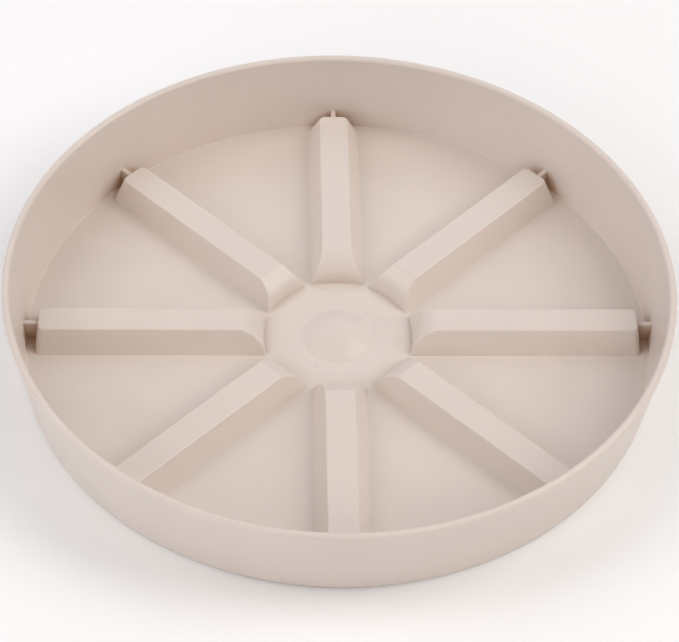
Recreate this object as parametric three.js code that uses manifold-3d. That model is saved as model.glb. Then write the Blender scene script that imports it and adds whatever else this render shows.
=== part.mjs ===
// Round plant pot saucer, 153 mm across and 22 mm high, moulded in one piece from polypropylene.
// Millimetres, +Z up, origin at the centre of the base. Eight hollow ribs stand on the floor, the
// first along +X. They hold a pot clear of the water, and run from a low hub to near the wall.
import * as THREE from 'three';
import { mergeVertices } from 'three/addons/utils/BufferGeometryUtils.js';
import Module from 'manifold-3d';

// Overall size and the wall, which leans out. Its two faces draft differently, so it is
// thickest at the lip.
const RIM_RADIUS = 76.5;
const HEIGHT = 22;
const LIP_ROUND = 0.95;
const OUTER_DRAFT = THREE.MathUtils.degToRad(10.3);
const INNER_DRAFT = THREE.MathUtils.degToRad(8.7);
const BASE_CORNER = 1.2;

// Floor, and the foot ring under its edge
const SKIN = 1.7;
const FLOOR_TOP = 2.5;
const FLOOR_FILLET = 0.8;
const FOOT_INNER_RADIUS = 69;

// Ribs
const RIB_COUNT = 8;
const RIB_TOP = 8.2;
const RIB_TOP_WIDTH = 6.8;
const RIB_BASE_WIDTH = 12.6;
const RIB_END_TOP = 68.9;
const RIB_END_BASE = 69.7;

// The ribs' inner ends are rounded over, down to a circle round the hub
const END_FOOT_RADIUS = 17.2;
const END_HEAD_RADIUS = 23.5;

// Thin webs that tie the ribs' outer ends to the wall
const WEB_THICKNESS = 1.2;
const WEB_TOP = 7.1;

// Hub: a low mound, and a shallow dome in a groove at its middle
const MOUND_RADIUS = 13.6;
const MOUND_TOP = 3;
const DOME_RADIUS = 8.4;
const GROOVE_TOP = 2.7;
const DOME_TOP = 4.7;

// How finely round shapes are divided
const TURN_STEPS = 80;
const HUB_STEPS = 8;
const END_STEPS = 8;
const LIP_STEPS = 6;
const CORNER_STEPS = 3;

const BEIGE = 0xd9cdc4;

const floorUnderside = FLOOR_TOP - SKIN;
const ribHeight = RIB_TOP - FLOOR_TOP;
const belowBase = -1;
const aboveRibs = RIB_TOP + 1;

const wasm = await Module();
wasm.setup();

// A closed three.js geometry as a solid that can be cut and joined.
function solidFrom(geometry) {
  geometry.deleteAttribute('normal');
  geometry.deleteAttribute('uv');
  const merged = mergeVertices(geometry);
  return new wasm.Manifold(new wasm.Mesh({
    numProp: 3,
    vertProperties: new Float32Array(merged.attributes.position.array),
    triVerts: new Uint32Array(merged.index.array),
  }));
}

function geometryFrom(solid) {
  const { vertProperties, triVerts } = solid.getMesh();
  const geometry = new THREE.BufferGeometry();
  geometry.setAttribute('position', new THREE.BufferAttribute(vertProperties, 3));
  geometry.setIndex(new THREE.BufferAttribute(triVerts, 1));
  geometry.computeVertexNormals();
  return geometry;
}

// Turns an anticlockwise outline of [radius, height] points about the Z axis.
function turned(outline) {
  const closed = [...outline, outline[0]];
  const points = closed.map(([radius, height]) => new THREE.Vector2(radius, height));
  return solidFrom(new THREE.LatheGeometry(points, TURN_STEPS).rotateX(Math.PI / 2));
}

// [radius, height] points along an arc, with its ends, for angles in radians.
function arc(centreRadius, centreHeight, round, from, to, steps) {
  return Array.from({ length: steps + 1 }, (_, i) => {
    const angle = from + (to - from) * i / steps;
    return [centreRadius + round * Math.cos(angle), centreHeight + round * Math.sin(angle)];
  });
}

// The hub's upper surface is three parabolas, for the dome, the mound's inside and its shoulder.
function hubHeight(radius) {
  if (radius < DOME_RADIUS) {
    return DOME_TOP - (DOME_TOP - GROOVE_TOP) * (radius / DOME_RADIUS) ** 2;
  }
  const onShoulder = radius > MOUND_RADIUS;
  const edge = onShoulder ? END_FOOT_RADIUS : DOME_RADIUS;
  const edgeHeight = onShoulder ? FLOOR_TOP : GROOVE_TOP;
  const fall = ((radius - MOUND_RADIUS) / (edge - MOUND_RADIUS)) ** 2;
  return MOUND_TOP - (MOUND_TOP - edgeHeight) * fall;
}

// [radius, height] points from the hub's centre to its edge, for its upper face or its underside.
function hubLine(drop) {
  const stops = [0, DOME_RADIUS, MOUND_RADIUS, END_FOOT_RADIUS];
  const radii = stops.slice(1).flatMap((stop, k) => {
    const steps = Math.round(HUB_STEPS * (stop - stops[k]) / END_FOOT_RADIUS);
    return Array.from({ length: steps }, (_, i) => stops[k] + (stop - stops[k]) * i / steps);
  });
  return [...radii, END_FOOT_RADIUS].map((radius) => [radius, hubHeight(radius) - drop]);
}

// Wall, floor and hub in one turned shell. The centre of each round is worked out from the faces
// that it touches.
function makeShell() {
  const lipHeight = HEIGHT - LIP_ROUND;
  const lipRadius = RIM_RADIUS - LIP_ROUND;
  const cornerRadius = lipRadius - (lipHeight - BASE_CORNER) * Math.tan(OUTER_DRAFT)
    + (LIP_ROUND - BASE_CORNER) / Math.cos(OUTER_DRAFT);
  const filletHeight = FLOOR_TOP + FLOOR_FILLET;
  const filletRadius = lipRadius - (lipHeight - filletHeight) * Math.tan(INNER_DRAFT)
    - (LIP_ROUND + FLOOR_FILLET) / Math.cos(INNER_DRAFT);
  const down = -Math.PI / 2;
  return turned([
    ...hubLine(SKIN),
    [FOOT_INNER_RADIUS, floorUnderside],
    [FOOT_INNER_RADIUS + floorUnderside / 2, 0],
    ...arc(cornerRadius, BASE_CORNER, BASE_CORNER, down, -OUTER_DRAFT, CORNER_STEPS),
    ...arc(lipRadius, lipHeight, LIP_ROUND, -OUTER_DRAFT, Math.PI - INNER_DRAFT, LIP_STEPS),
    ...arc(filletRadius, filletHeight, FLOOR_FILLET, -INNER_DRAFT, down, CORNER_STEPS),
    ...hubLine(0).reverse(),
  ]);
}

// A block along +X whose sides and far end lean in towards the rib's top. With an inset, it is
// the hollow that leaves a skin of that thickness.
function makeRibBlock(inset, bottom) {
  const sideSlope = (RIB_BASE_WIDTH - RIB_TOP_WIDTH) / 2 / ribHeight;
  const endSlope = (RIB_END_BASE - RIB_END_TOP) / ribHeight;
  const block = new THREE.BoxGeometry(1, 1, 1);
  const corners = block.attributes.position;
  for (let i = 0; i < corners.count; i += 1) {
    const height = corners.getZ(i) > 0 ? RIB_TOP - inset : bottom;
    const drop = RIB_TOP - height;
    const side = RIB_TOP_WIDTH / 2 + drop * sideSlope - inset * Math.hypot(1, sideSlope);
    const end = RIB_END_TOP + drop * endSlope - inset * Math.hypot(1, endSlope);
    const along = corners.getX(i) > 0 ? end : MOUND_RADIUS;
    corners.setXYZ(i, along, Math.sign(corners.getY(i)) * side, height);
  }
  return solidFrom(block);
}

// The round space over the hub, whose side bulges in as the ribs' rounded inner ends.
function makeHubSpace(inset) {
  const reach = END_HEAD_RADIUS - END_FOOT_RADIUS - inset;
  const rise = ribHeight - inset;
  const side = Array.from({ length: END_STEPS + 1 }, (_, i) => {
    const angle = Math.PI / 2 * i / END_STEPS;
    return [END_HEAD_RADIUS - reach * Math.cos(angle), FLOOR_TOP + rise * Math.sin(angle)];
  });
  return turned([
    [0, belowBase - 1],
    [END_HEAD_RADIUS - reach, belowBase - 1],
    ...side,
    [END_HEAD_RADIUS, aboveRibs],
    [0, aboveRibs],
  ]);
}

// One copy of a solid for each rib, turned about Z and joined.
function aroundHub(solid) {
  const copies = Array.from({ length: RIB_COUNT }, (_, i) => solid.rotate([0, 0, 360 * i / RIB_COUNT]));
  return copies.reduce((joined, copy) => joined.add(copy));
}

function makeWeb() {
  const start = RIB_END_TOP - SKIN / 2;
  const end = RIB_END_BASE + SKIN * 2;
  const bottom = FLOOR_TOP - SKIN / 2;
  const web = new THREE.BoxGeometry(end - start, WEB_THICKNESS, WEB_TOP - bottom);
  return solidFrom(web.translate((start + end) / 2, 0, (WEB_TOP + bottom) / 2));
}

function makeSaucer() {
  const ribs = aroundHub(makeRibBlock(0, FLOOR_TOP - SKIN / 2)).subtract(makeHubSpace(0));
  const hollows = aroundHub(makeRibBlock(SKIN, belowBase)).subtract(makeHubSpace(SKIN));
  return makeShell().add(ribs).subtract(hollows).add(aroundHub(makeWeb()));
}

const plastic = new THREE.MeshStandardMaterial({ color: BEIGE, roughness: 0.55, metalness: 0 });
const saucer = new THREE.Mesh(geometryFrom(makeSaucer()), plastic);
saucer.name = 'saucer';

const object = new THREE.Group();
object.add(saucer);

export default object;
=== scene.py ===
from math import acos, asin, atan, cos, hypot, pi, radians, sin, tan

import bmesh
import bpy
from mathutils import Matrix, Quaternion, Vector


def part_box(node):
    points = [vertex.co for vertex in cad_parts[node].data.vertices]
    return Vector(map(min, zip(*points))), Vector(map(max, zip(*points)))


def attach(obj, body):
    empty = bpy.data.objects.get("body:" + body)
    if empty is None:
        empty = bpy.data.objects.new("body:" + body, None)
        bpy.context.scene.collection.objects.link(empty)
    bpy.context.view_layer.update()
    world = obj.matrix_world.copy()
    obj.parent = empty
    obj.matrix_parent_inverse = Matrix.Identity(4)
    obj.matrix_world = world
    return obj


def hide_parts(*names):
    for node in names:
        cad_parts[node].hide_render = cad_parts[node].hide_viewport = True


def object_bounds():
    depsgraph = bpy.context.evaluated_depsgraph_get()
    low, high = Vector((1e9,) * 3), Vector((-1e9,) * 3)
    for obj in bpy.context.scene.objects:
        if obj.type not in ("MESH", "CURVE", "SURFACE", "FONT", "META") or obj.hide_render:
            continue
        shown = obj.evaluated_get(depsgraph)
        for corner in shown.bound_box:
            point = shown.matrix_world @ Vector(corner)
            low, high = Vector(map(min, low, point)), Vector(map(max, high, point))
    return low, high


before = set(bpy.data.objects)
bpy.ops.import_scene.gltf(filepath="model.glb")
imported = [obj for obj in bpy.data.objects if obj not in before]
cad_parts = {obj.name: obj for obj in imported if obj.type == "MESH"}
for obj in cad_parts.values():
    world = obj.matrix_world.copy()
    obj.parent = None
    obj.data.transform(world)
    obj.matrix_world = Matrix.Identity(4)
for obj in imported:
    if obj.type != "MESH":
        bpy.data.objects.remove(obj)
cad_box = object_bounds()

scene = bpy.context.scene

# The camera looks down at the saucer from the front, a little to the left of the line of one rib,
# and leans slightly. It is far off for the saucer's size, so perspective hardly shows.
CAMERA_DISTANCE = 0.685
CAMERA_HEIGHT_ANGLE = radians(46.07)
CAMERA_TURN = radians(-92.39)
CAMERA_LEAN = radians(1.89)
CAMERA_LENS = 158.37
CAMERA_AIM = Vector((0.0001, -0.0033, 0.011))
middle = Vector((0, 0, (cad_box[0][2] + cad_box[1][2]) / 2))
camera_place = middle + CAMERA_DISTANCE * Vector((
    cos(CAMERA_HEIGHT_ANGLE) * cos(CAMERA_TURN),
    cos(CAMERA_HEIGHT_ANGLE) * sin(CAMERA_TURN),
    sin(CAMERA_HEIGHT_ANGLE)))
camera = bpy.data.objects.new("camera", bpy.data.cameras.new("camera"))
camera.data.sensor_width = 36
camera.data.lens = CAMERA_LENS
camera.location = camera_place
camera.rotation_mode = "QUATERNION"
camera.rotation_quaternion = (
    (CAMERA_AIM - camera_place).to_track_quat("-Z", "Y") @ Quaternion((0, 0, 1), CAMERA_LEAN))
scene.collection.objects.link(camera)
scene.camera = camera


# The saucer is one polypropylene moulding: a floor on a foot ring, a flared wall with a round lip,
# eight hollow ribs that a pot stands on, and a low domed hub. Its skin has one thickness, every
# edge a small round and every wall a draft to leave the mould. Sizes are in millimetres.
low_corner, high_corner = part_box("saucer")
RIM_RADIUS = high_corner[0] * 1000
HEIGHT = high_corner[2] * 1000
LIP_ROUND = 0.95
LIP_STEP = 0.12
OUTER_DRAFT = radians(10.3)
INNER_DRAFT = radians(8.7)
BASE_CORNER = 1.2
SKIN = 1.7
FLOOR_TOP = 2.5
FLOOR_FILLET = 0.3
FOOT_INNER_RADIUS = 69
FOOT_INNER_CORNER = 0.3
RIB_COUNT = 8
RIB_TOP = 8.2
RIB_TOP_WIDTH = 6.8
RIB_BASE_WIDTH = 12.6
RIB_END_TOP = 68.9
RIB_END_BASE = 69.7
END_FOOT_RADIUS = 17.2
END_HEAD_RADIUS = 23.5
END_BOW_RADIUS = 26
MOUND_RADIUS = 13.6
MOUND_TOP = 3
DOME_RADIUS = 8.4
GROOVE_TOP = 2.7
DOME_TOP = 4.7
HUB_RINGS = (16.2, 15, MOUND_RADIUS, 12, 10.4, 9.2, DOME_RADIUS, 7.4, 6, 4.5, 3, 1.5, 0)
ROUND_STEPS = 6
FULL_TURN_STEPS = 192
HALF_SECTOR = pi / RIB_COUNT
MERGE_REACH = 0.01
rib_height = RIB_TOP - FLOOR_TOP
side_slope = (RIB_BASE_WIDTH - RIB_TOP_WIDTH) / 2 / rib_height
end_slope = (RIB_END_BASE - RIB_END_TOP) / rib_height


def arc(x, y, radius, start, end, steps):
    """Points on an arc about (x, y), its two ends among them."""
    turns = [start + (end - start) * i / steps for i in range(steps + 1)]
    return [(x + radius * cos(turn), y + radius * sin(turn)) for turn in turns]


def straight(start, end, steps):
    """Values from start to end, without the first."""
    return [start + (end - start) * (i + 1) / steps for i in range(steps)]


def hub_height(radius):
    """The hub's upper face: a dome, a groove, and a mound that falls to the floor."""
    if radius < DOME_RADIUS:
        return DOME_TOP - (DOME_TOP - GROOVE_TOP) * (radius / DOME_RADIUS) ** 2
    edge, edge_height = DOME_RADIUS, GROOVE_TOP
    if radius > MOUND_RADIUS:
        edge, edge_height = END_FOOT_RADIUS, FLOOR_TOP
    fall = (radius - MOUND_RADIUS) / (edge - MOUND_RADIUS)
    return MOUND_TOP - (MOUND_TOP - edge_height) * fall ** 2


def rib_section(inset, top_round, foot_round):
    """(half width, height, swell) points up one side of a rib, from the floor to its flat top.
    The swell is how far a point stands out from the plain slope, in the rounds at foot and top."""
    lean = atan(side_slope)

    def half_width(height):
        return RIB_TOP_WIDTH / 2 + (RIB_TOP - height) * side_slope - inset / cos(lean)

    low = FLOOR_TOP - inset + foot_round
    high = RIB_TOP - inset - top_round
    foot = arc(half_width(low) + foot_round / cos(lean), low, foot_round, 3 * pi / 2, pi + lean, 3)
    top = arc(half_width(high) - top_round / cos(lean), high, top_round, lean, pi / 2, 5)
    side = [(half_width(height), height)
            for height in straight(foot[-1][1], top[0][1], ROUND_STEPS)[:-1]]
    return [(width, height, width - half_width(height)) for width, height in foot + side + top]


def rib_outline(width, height, swell, inset, inner_corner, outer_corner):
    """Half of a level outline round a rib, from its inner end along the side to its outer end,
    and how many of its points are on the inner end."""
    reach = END_HEAD_RADIUS - END_FOOT_RADIUS - inset
    rise = min(max((height - FLOOR_TOP) / (rib_height - inset), 0), 1)
    start = END_HEAD_RADIUS - reach * cos(asin(rise)) - max(swell, 0)
    end = RIB_END_TOP + (RIB_TOP - height) * end_slope - inset * hypot(1, end_slope) + swell
    shoulder = width - inner_corner
    inner = [(start, y) for y in [0] + straight(0, shoulder, 5)]
    inner += arc(start + inner_corner, shoulder, inner_corner, pi, pi / 2, 4)[1:]
    inner = [(x - y * y / (2 * END_BOW_RADIUS) * (1 - rise), y) for x, y in inner]
    side = [(x, width) for x in straight(inner[-1][0], end - outer_corner, ROUND_STEPS)]
    shoulder = width - outer_corner
    outer = arc(end - outer_corner, shoulder, outer_corner, pi / 2, 0, ROUND_STEPS)[1:]
    outer += [(end, y) for y in straight(shoulder, 0, 2)]
    return inner + side + outer, len(inner) - 1


def add_chain(bm, places, first=None, last=None):
    """Joins new vertices by edges into a chain, with given vertices at its ends."""
    chain = [first] if first else []
    chain += [bm.verts.new(place) for place in places]
    chain += [last] if last else []
    for pair in zip(chain, chain[1:]):
        bm.edges.new(pair)
    return chain


def extrude_to(bm, chain, places):
    """Extrudes a chain of vertices once and sets the new ones in place."""
    edges = [bm.edges.get(pair) for pair in zip(chain, chain[1:])]
    made = bmesh.ops.extrude_edge_only(bm, edges=edges)["geom"]
    partner = {}
    for vert in (item for item in made if isinstance(item, bmesh.types.BMVert)):
        neighbours = [edge.other_vert(vert) for edge in vert.link_edges]
        twin = next(neighbour for neighbour in neighbours if neighbour in chain)
        partner[twin] = vert
    row = [partner[vert] for vert in chain]
    for vert, place in zip(row, places):
        vert.co = place
    return row


def half_sector(bm, inset, top_round, foot_round, inner_corner, outer_corner, floor_radius):
    """Half of a rib with the floor and hub beside it, from the rib's middle line to half way to
    the next rib. With an inset it is the under face, at that depth in the skin."""
    floor = FLOOR_TOP - inset
    rows = []
    for width, height, swell in rib_section(inset, top_round, foot_round):
        outline, inner_count = rib_outline(width, height, swell, inset, inner_corner, outer_corner)
        places = [(x, y, height) for x, y in outline]
        rows.append(extrude_to(bm, rows[-1], places) if rows else add_chain(bm, places))
    bm.faces.new(rows[-1])
    foot = rows[0]
    throat_radius = foot[inner_count - 1].co.xy.length
    throat = bm.verts.new(
        (throat_radius * cos(HALF_SECTOR), throat_radius * sin(HALF_SECTOR), floor))
    bm.edges.new((foot[inner_count - 1], throat))
    ring = foot[:inner_count] + [throat]
    turns = [vert.co.xy.angle_signed(Vector((1, 0))) for vert in ring]
    for radius in HUB_RINGS:
        height = hub_height(radius) - inset
        places = [(radius * cos(turn), radius * sin(turn), height) for turn in turns]
        ring = extrude_to(bm, ring, places)
    steps = FULL_TURN_STEPS // RIB_COUNT // 2
    edge = [(x, y, floor) for x, y in arc(0, 0, floor_radius, 0, HALF_SECTOR, steps)]
    border = add_chain(bm, edge, first=foot[-1], last=throat)
    bm.faces.new(foot[inner_count - 1:] + border[1:])


lip_height = HEIGHT - LIP_ROUND
lip_radius = RIM_RADIUS - LIP_ROUND
fillet_height = FLOOR_TOP + FLOOR_FILLET
fillet_radius = (lip_radius - (lip_height - fillet_height) * tan(INNER_DRAFT)
                 - (LIP_ROUND + FLOOR_FILLET) / cos(INNER_DRAFT))


def repeat_round(bm):
    """Copies what is drawn for one rib to the other ribs."""
    bmesh.ops.spin(bm, geom=bm.verts[:] + bm.edges[:] + bm.faces[:], cent=(0, 0, 0), axis=(0, 0, 1),
                   angle=2 * pi * (RIB_COUNT - 1) / RIB_COUNT, steps=RIB_COUNT - 1,
                   use_duplicate=True)


body = bmesh.new()
half_sector(body, inset=0, top_round=0.45, foot_round=0.2, inner_corner=0.35, outer_corner=1.3,
            floor_radius=fillet_radius)
half_sector(body, inset=SKIN, top_round=0.3, foot_round=0.5, inner_corner=0.4, outer_corner=0.4,
            floor_radius=FOOT_INNER_RADIUS)
bmesh.ops.mirror(body, geom=body.verts[:] + body.edges[:] + body.faces[:],
                 matrix=Matrix.Identity(4), merge_dist=0.001, axis="Y")
repeat_round(body)

# The wall is spun from its section: up the inside, over the lip, down the outside, round the foot.
# The lip stands out from the wall under it by a hair, where the two halves of the mould meet.
LIP_STEPS = 16
PARTING_IN = 0.03
PARTING_DOWN = 0.15
FOOT_CORNER_STEPS = 4
corner_radius = (lip_radius - (lip_height - BASE_CORNER) * tan(OUTER_DRAFT)
                 + (LIP_ROUND - LIP_STEP - BASE_CORNER) / cos(OUTER_DRAFT))
lip_turn = OUTER_DRAFT + acos(1 - LIP_STEP / LIP_ROUND)
wall = arc(fillet_radius, fillet_height, FLOOR_FILLET, -pi / 2, -INNER_DRAFT, ROUND_STEPS)
wall += arc(lip_radius, lip_height, LIP_ROUND, pi - INNER_DRAFT, -lip_turn, LIP_STEPS)
wall += [(wall[-1][0] - PARTING_IN, wall[-1][1] - PARTING_DOWN)]
wall += arc(corner_radius, BASE_CORNER, BASE_CORNER, -OUTER_DRAFT, -pi / 2, ROUND_STEPS)
wall += arc(FOOT_INNER_RADIUS + FOOT_INNER_CORNER, FOOT_INNER_CORNER, FOOT_INNER_CORNER,
            -pi / 2, -pi, FOOT_CORNER_STEPS)
wall += [(FOOT_INNER_RADIUS, FLOOR_TOP - SKIN)]
section = add_chain(body, [(radius, 0, height) for radius, height in wall])
section_edges = [body.edges.get(pair) for pair in zip(section, section[1:])]
bmesh.ops.spin(body, geom=section + section_edges, cent=(0, 0, 0), axis=(0, 0, 1), angle=2 * pi,
               steps=FULL_TURN_STEPS, use_merge=True)
bmesh.ops.remove_doubles(body, verts=body.verts, dist=MERGE_REACH)
bmesh.ops.recalc_face_normals(body, faces=body.faces)

# A thin web ties each rib's outer end to the wall, set a little below the rib's top. It is moulded
# with the rest, so its bar reaches into the rib and the wall and is joined to them as one solid.
WEB_THICKNESS = 1.2
WEB_TOP = 7.1
WEB_BOTTOM = 1.8
WEB_START = 68.3
WEB_END = 72.7
WEB_ROUND = 0.2
webs = bmesh.new()
bmesh.ops.create_cube(webs, size=1)
bmesh.ops.scale(webs, vec=(WEB_END - WEB_START, WEB_THICKNESS, WEB_TOP - WEB_BOTTOM),
                verts=webs.verts)
bmesh.ops.translate(webs, vec=((WEB_START + WEB_END) / 2, 0, (WEB_TOP + WEB_BOTTOM) / 2),
                    verts=webs.verts)
top_edges = [edge for edge in webs.edges
             if all(vert.co.z > WEB_TOP - MERGE_REACH for vert in edge.verts)
             and abs(edge.verts[0].co.x - edge.verts[1].co.x) > WEB_THICKNESS / 2]
bmesh.ops.bevel(webs, geom=top_edges, offset=WEB_ROUND, segments=3, profile=0.5, affect="EDGES",
                material=-1)
repeat_round(webs)


def finished_object(name, bm):
    """An object in metres from a mesh drawn in millimetres."""
    bmesh.ops.scale(bm, vec=(0.001, 0.001, 0.001), verts=bm.verts)
    mesh = bpy.data.meshes.new(name)
    bm.to_mesh(mesh)
    bm.free()
    made = bpy.data.objects.new(name, mesh)
    scene.collection.objects.link(made)
    return made


SHARP_ANGLE = radians(40)
saucer = finished_object("moulded_saucer", body)
web_tool = finished_object("webs", webs)
union = saucer.modifiers.new("webs", "BOOLEAN")
union.operation = "UNION"
union.solver = "EXACT"
union.object = web_tool
joined = saucer.evaluated_get(bpy.context.evaluated_depsgraph_get())
saucer.data = bpy.data.meshes.new_from_object(joined)
saucer.modifiers.clear()
bpy.data.objects.remove(web_tool)
for polygon in saucer.data.polygons:
    polygon.use_smooth = True
saucer.data.set_sharp_from_angle(angle=SHARP_ANGLE)
weighted = saucer.modifiers.new("weighted normals", "WEIGHTED_NORMAL")
weighted.keep_sharp = True
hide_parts("saucer")
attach(saucer, "root")


# Injection-moulded polypropylene, pigmented a warm beige: a satin skin copied from the eroded
# steel of the mould, a milky depth, faint clouds of shade where the melt flowed, a few specks of
# pigment, and painted shade: a darker, warmer brown in the tight nooks by the webs. Sizes are in
# millimetres.
BEIGE = "D9CDC4"
FLOW_CLOUDS = 14
CLOUD_SHADE = 0.015
SPARK_GRAIN = 0.45  # Real grain is finer than 0.1 mm. It is drawn as coarse as it needs to show.
SPARK_DEPTH = 0.005
SATIN_ROUGHNESS = 0.36
SATIN_SPREAD = 0.03
SPECK_SPACING = 9
SPECK_RADIUS = 0.32
SPECK_SHADE = 0.8
PAINTED_SHADE_REACH = 4
PAINTED_SHADE_TINT = "E8CCB0"
MILKY_DEPTH = 2
POLYPROPYLENE_IOR = 1.49


def linear(hex_colour):
    """An sRGB hex colour as linear red, green, blue and an alpha of 1."""
    parts = [int(hex_colour[i:i + 2], 16) / 255 for i in (0, 2, 4)]
    return [part / 12.92 if part <= 0.04045 else ((part + 0.055) / 1.055) ** 2.4
            for part in parts] + [1]


def node(tree, kind, settings=None, **links):
    """Adds a node, sets its properties and sockets, and links sockets to other nodes' outputs."""
    made = tree.nodes.new(kind)
    for key, value in (settings or {}).items():
        if key in made.inputs:
            made.inputs[key].default_value = value
        else:
            setattr(made, key, value)
    for key, source in links.items():
        tree.links.new(source, made.inputs[key.replace("_", " ")])
    return made


plastic = bpy.data.materials.new("injection-moulded polypropylene, satin")
plastic.use_nodes = True
tree = plastic.node_tree
shader = tree.nodes["Principled BSDF"]
place = node(tree, "ShaderNodeTexCoord").outputs["Object"]
clouds = node(tree, "ShaderNodeTexNoise",
              {"Scale": 1000 / FLOW_CLOUDS, "Detail": 3, "Roughness": 0.5}, Vector=place)
shade = node(tree, "ShaderNodeMapRange",
             {"From Min": 0.3, "From Max": 0.7, "To Min": 1 - CLOUD_SHADE,
              "To Max": 1 + CLOUD_SHADE}, Value=clouds.outputs["Fac"])
pigment = node(tree, "ShaderNodeTexVoronoi", {"Scale": 1000 / SPECK_SPACING}, Vector=place)
speck_reach = SPECK_RADIUS / SPECK_SPACING
speck = node(tree, "ShaderNodeMapRange",
             {"From Min": speck_reach / 2, "From Max": speck_reach, "To Min": SPECK_SHADE,
              "To Max": 1}, Value=pigment.outputs["Distance"])
value = node(tree, "ShaderNodeMath", {"operation": "MULTIPLY"})
tree.links.new(shade.outputs["Result"], value.inputs[0])
tree.links.new(speck.outputs["Result"], value.inputs[1])
tint = node(tree, "ShaderNodeHueSaturation", {"Color": linear(BEIGE)}, Value=value.outputs["Value"])
# Painted shade: an ambient-occlusion mask multiplies the colour towards a darker warm brown in
# tight nooks, such as beside the webs, where light is hidden.
painted_shade_ao = node(tree, "ShaderNodeAmbientOcclusion",
            {"samples": 8, "only_local": True, "Distance": PAINTED_SHADE_REACH / 1000})
painted_shade_depth = node(tree, "ShaderNodeMapRange",
                  {"From Min": 0.15, "From Max": 0.6, "To Min": 1, "To Max": 0},
                  Value=painted_shade_ao.outputs["AO"])
# A Mix node that mixes colours has its factor at socket 0, its colours at 6 and 7, and its result
# at output 2.
painted_shade_mix = node(tree, "ShaderNodeMix", {"data_type": "RGBA", "blend_type": "MULTIPLY"})
tree.links.new(painted_shade_depth.outputs["Result"], painted_shade_mix.inputs[0])
tree.links.new(tint.outputs["Color"], painted_shade_mix.inputs[6])
painted_shade_mix.inputs[7].default_value = linear(PAINTED_SHADE_TINT)
tree.links.new(painted_shade_mix.outputs[2], shader.inputs["Base Color"])
spark = node(tree, "ShaderNodeTexNoise",
             {"Scale": 1000 / SPARK_GRAIN, "Detail": 2, "Roughness": 0.6}, Vector=place)
gloss = node(tree, "ShaderNodeMapRange",
             {"From Min": 0.3, "From Max": 0.7, "To Min": SATIN_ROUGHNESS - SATIN_SPREAD,
              "To Max": SATIN_ROUGHNESS + SATIN_SPREAD}, Value=spark.outputs["Fac"])
tree.links.new(gloss.outputs["Result"], shader.inputs["Roughness"])
bump = node(tree, "ShaderNodeBump", {"Strength": 1, "Distance": SPARK_DEPTH / 1000},
            Height=spark.outputs["Fac"])
tree.links.new(bump.outputs["Normal"], shader.inputs["Normal"])
shader.inputs["IOR"].default_value = POLYPROPYLENE_IOR
shader.inputs["Subsurface Weight"].default_value = 0.1
shader.inputs["Subsurface Radius"].default_value = (1, 0.6, 0.4)
shader.inputs["Subsurface Scale"].default_value = MILKY_DEPTH / 1000
saucer.data.materials.clear()
saucer.data.materials.append(plastic)


# The studio is a wide sheet of matt white card under the saucer, in a white tent lit by soft boxes
# all round. They stand far off for the saucer's size, so their light is even over the floor.
FLOOR_WIDTH = 10
CARD_WHITE = "F7F7F7"
TENT_GLOW = 0.1
sheet = bmesh.new()
bmesh.ops.create_grid(sheet, x_segments=1, y_segments=1, size=FLOOR_WIDTH / 2 * 1000)
floor = finished_object("floor", sheet)
card = bpy.data.materials.new("matt white card")
card.use_nodes = True
card_shader = card.node_tree.nodes["Principled BSDF"]
card_shader.inputs["Base Color"].default_value = linear(CARD_WHITE)
card_shader.inputs["Roughness"].default_value = 0.8
floor.data.materials.append(card)
world = bpy.data.worlds.new("white tent")
scene.world = world
world.use_nodes = True
tent = world.node_tree.nodes["Background"]
tent.inputs["Color"].default_value = (1, 1, 1, 1)
tent.inputs["Strength"].default_value = TENT_GLOW


def soft_box(name, place, width, depth, power, colour="FFFFFF"):
    """A soft box aimed at the saucer: its place and size in metres, and its power in watts."""
    lamp = bpy.data.lights.new(name, "AREA")
    lamp.shape = "RECTANGLE"
    lamp.size, lamp.size_y = width, depth
    lamp.energy = power
    lamp.color = linear(colour)[:3]
    box = bpy.data.objects.new(name, lamp)
    box.location = place
    box.rotation_mode = "QUATERNION"
    box.rotation_quaternion = (-Vector(place)).to_track_quat("-Z", "Y")
    box.visible_camera = False
    scene.collection.objects.link(box)


soft_box("overhead box", (0, 0, 2.75), 3, 3, 6.2)
soft_box("high right box", (1.38, 0.3, 2.05), 1.25, 1.25, 16.8, "FFF9F4")
soft_box("high left box", (-1.38, 0.3, 2.05), 1.25, 1.25, 13.8, "FFF9F4")
soft_box("front right box", (1.12, -1.5, 1.65), 1, 1, 6.5, "FFF4EA")
soft_box("right box", (2.2, -0.1, 1.25), 1.25, 1.25, 19.6)
soft_box("left box", (-2.25, 0, 1.25), 1.25, 1.25, 12.4, "EEF4FF")
soft_box("back box", (0, 2.1, 1.5), 3.75, 1.25, 19, "EEF3FF")
soft_box("front left box", (-1.6, -1.6, 1.25), 1, 1, 8.2, "FFF6EE")
soft_box("front box", (-0.25, -2.1, 1.1), 1.5, 1, 6.2, "FFF6EE")
soft_box("low left box", (-1.3, -1.95, 0.42), 1.25, 0.5, 8.5, "E4ECFF")
scene.view_settings.view_transform = "Standard"
